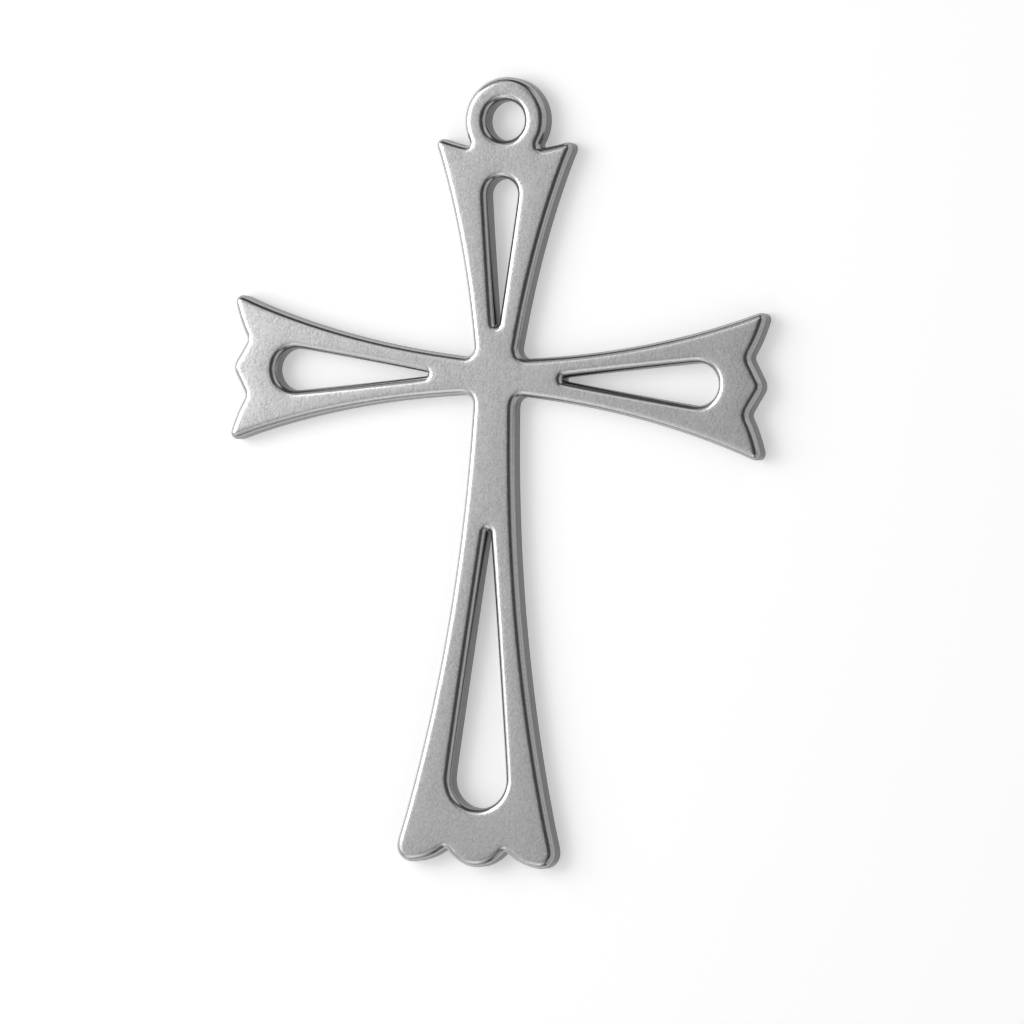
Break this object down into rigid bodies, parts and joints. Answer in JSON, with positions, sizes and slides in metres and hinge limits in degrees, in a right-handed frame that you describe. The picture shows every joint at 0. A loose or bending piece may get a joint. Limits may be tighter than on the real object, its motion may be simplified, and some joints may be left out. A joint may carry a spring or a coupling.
{
  "type": "cast metal cross",
  "caption": "Small flat cast-metal cross with flared arms, teardrop piercings, rolled face edges and a round hanging eye at its head.",
  "frame": {"origin": "under the middle of the casting's box, on the flat back that it lies on", "axes": "+X across the arms, +Y up the upright towards the hanging eye, +Z out of the face"},
  "size_m": [0.0858, 0.12, 0.0033],
  "materials": {
    "cast_metal": "satin, as cast, with a fine sand grain"
  },
  "bodies": {
    "root": {"cross": "cast_metal"}
  },
  "joints": []
}
